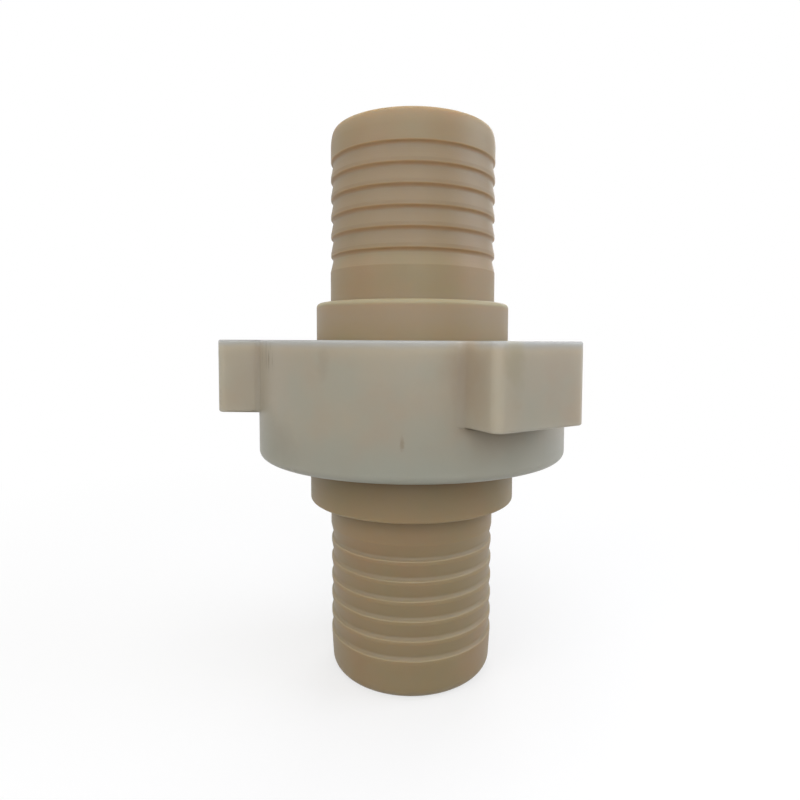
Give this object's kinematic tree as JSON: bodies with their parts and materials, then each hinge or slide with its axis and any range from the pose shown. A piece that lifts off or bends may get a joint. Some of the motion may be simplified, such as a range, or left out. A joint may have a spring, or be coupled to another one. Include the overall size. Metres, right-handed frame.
{
  "type": "hammer union",
  "caption": "Nylon hammer union for large hose: a threaded sub and a nose sub with barbed hose tails, drawn together on a sealed ball seat by a wing nut with hammer lugs.",
  "frame": {"origin": "centre of the bore at the lower end face, which is the end of the threaded sub's hose tail and the face the union stands on", "axes": "+Z along the flow bore from the threaded sub to the nose sub; one of the nut's lugs points along -X at rest"},
  "size_m": [0.209, 0.2242, 0.3315],
  "materials": {
    "tan_nylon": "turned nylon, satin, tan",
    "white_nylon": "turned nylon, satin, off-white",
    "seal_rubber": "moulded rubber, black, matt"
  },
  "bodies": {
    "threaded_end": {"threaded_sub": "tan_nylon"},
    "nose_end": {"nose_sub": "tan_nylon", "seal_ring": "seal_rubber"},
    "nut": {"wing_nut": "white_nylon"}
  },
  "joints": [
    {"name": "union_opening", "type": "slide", "parent": "threaded_end", "child": "nose_end", "axis": [0, 0, 1], "range_m": [0, 0.04]},
    {"name": "nut_spin", "type": "hinge", "parent": "nose_end", "child": "nut", "pos_m": [0, 0, 0.189], "axis": [0, 0, 1], "range_deg": [0, 1440]}
  ],
  "couplings": [
    {"joint": "union_opening", "follows": "nut_spin", "m_per_rad": 0.0015915}
  ]
}
